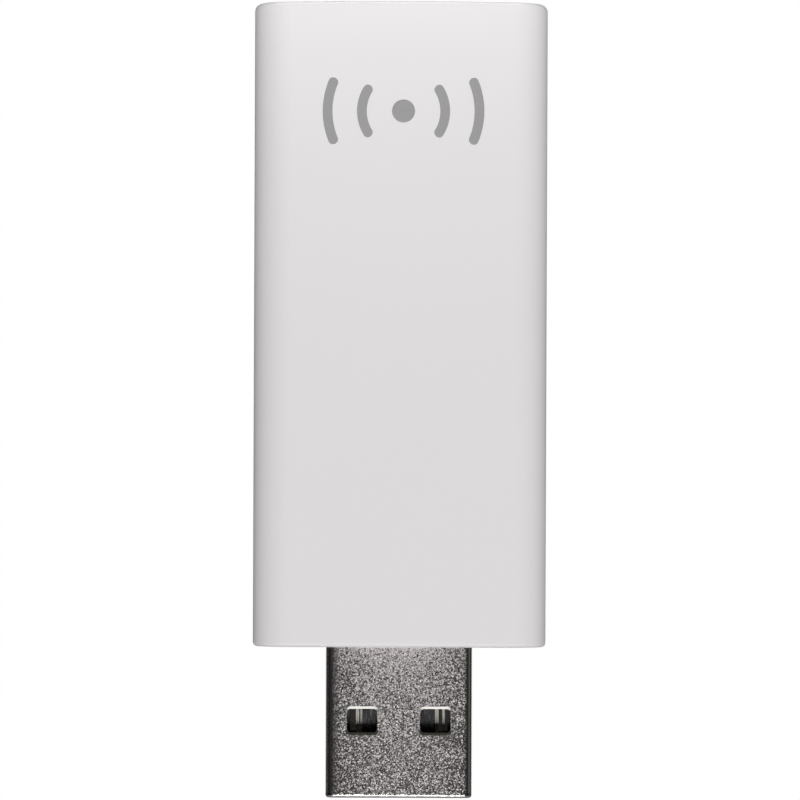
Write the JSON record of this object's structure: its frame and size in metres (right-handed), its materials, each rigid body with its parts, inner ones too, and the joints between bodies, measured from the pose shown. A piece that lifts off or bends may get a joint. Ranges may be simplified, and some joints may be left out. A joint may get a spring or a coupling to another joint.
{
  "type": "smart home usb radio stick",
  "caption": "Slim white USB radio stick for a smart home hub: a rounded plastic housing with a type A plug at one end.",
  "frame": {"origin": "middle of the stick's outline on the plane that its rear cover lies on", "axes": "+Y along the stick away from its plug, +Z from the rear face to the front face, +X across it"},
  "size_m": [0.024, 0.0652, 0.0086],
  "materials": {
    "white_plastic": "satin moulded white ABS with a very fine texture",
    "nickel_plated_steel": "matte nickel plating over rolled steel, with a coarse sparkle",
    "black_plastic": "smooth black moulded nylon",
    "contact_gold": "gold plated spring bronze",
    "board_laminate": "green solder mask over glass laminate",
    "tinned_steel": "tin plated sheet",
    "antenna_brass": "stamped and tin plated strip",
    "package_black": "moulded epoxy",
    "tinned_leads": "tinned copper leads",
    "crystal_can": "nickel lid on a ceramic base",
    "filter_ceramic": "pale fired ceramic",
    "capacitor_ceramic": "tan fired ceramic with tinned end caps",
    "resistor_ceramic": "dark glazed alumina with tinned end caps",
    "ferrite_grey": "dark grey fired ferrite with tinned end caps",
    "coil_ceramic": "pale green fired ceramic with tinned end caps",
    "fuse_laminate": "green laminated polymer fuse with tinned end caps"
  },
  "bodies": {
    "root": {"antenna": "antenna_brass", "bridge_capacitor_1": "capacitor_ceramic", "bridge_capacitor_2": "capacitor_ceramic", "circuit_board": "board_laminate", "data_minus_contact": "contact_gold", "data_plus_contact": "contact_gold", "ferrite_bead": "ferrite_grey", "front_cover": "white_plastic", "ground_contact": "contact_gold", "input_capacitor": "capacitor_ceramic", "matching_capacitor_1": "capacitor_ceramic", "matching_capacitor_2": "capacitor_ceramic", "matching_coil": "coil_ceramic", "memory_chip": "package_black", "memory_chip_legs": "tinned_leads", "output_capacitor": "capacitor_ceramic", "plug_insulator": "black_plastic", "plug_shell": "nickel_plated_steel", "power_contact": "contact_gold", "pull_up_resistor_1": "resistor_ceramic", "pull_up_resistor_2": "resistor_ceramic", "pull_up_resistor_3": "resistor_ceramic", "pull_up_resistor_4": "resistor_ceramic", "radio_capacitor_1": "capacitor_ceramic", "radio_capacitor_2": "capacitor_ceramic", "radio_capacitor_3": "capacitor_ceramic", "radio_capacitor_4": "capacitor_ceramic", "radio_chip": "package_black", "radio_crystal": "crystal_can", "rear_cover": "white_plastic", "resettable_fuse": "fuse_laminate", "shield_frame": "tinned_steel", "shield_lid": "tinned_steel", "signal_filter": "filter_ceramic", "surge_protector": "package_black", "surge_protector_legs": "tinned_leads", "usb_bridge_chip": "package_black", "voltage_regulator": "package_black", "voltage_regulator_legs": "tinned_leads"}
  },
  "joints": []
}
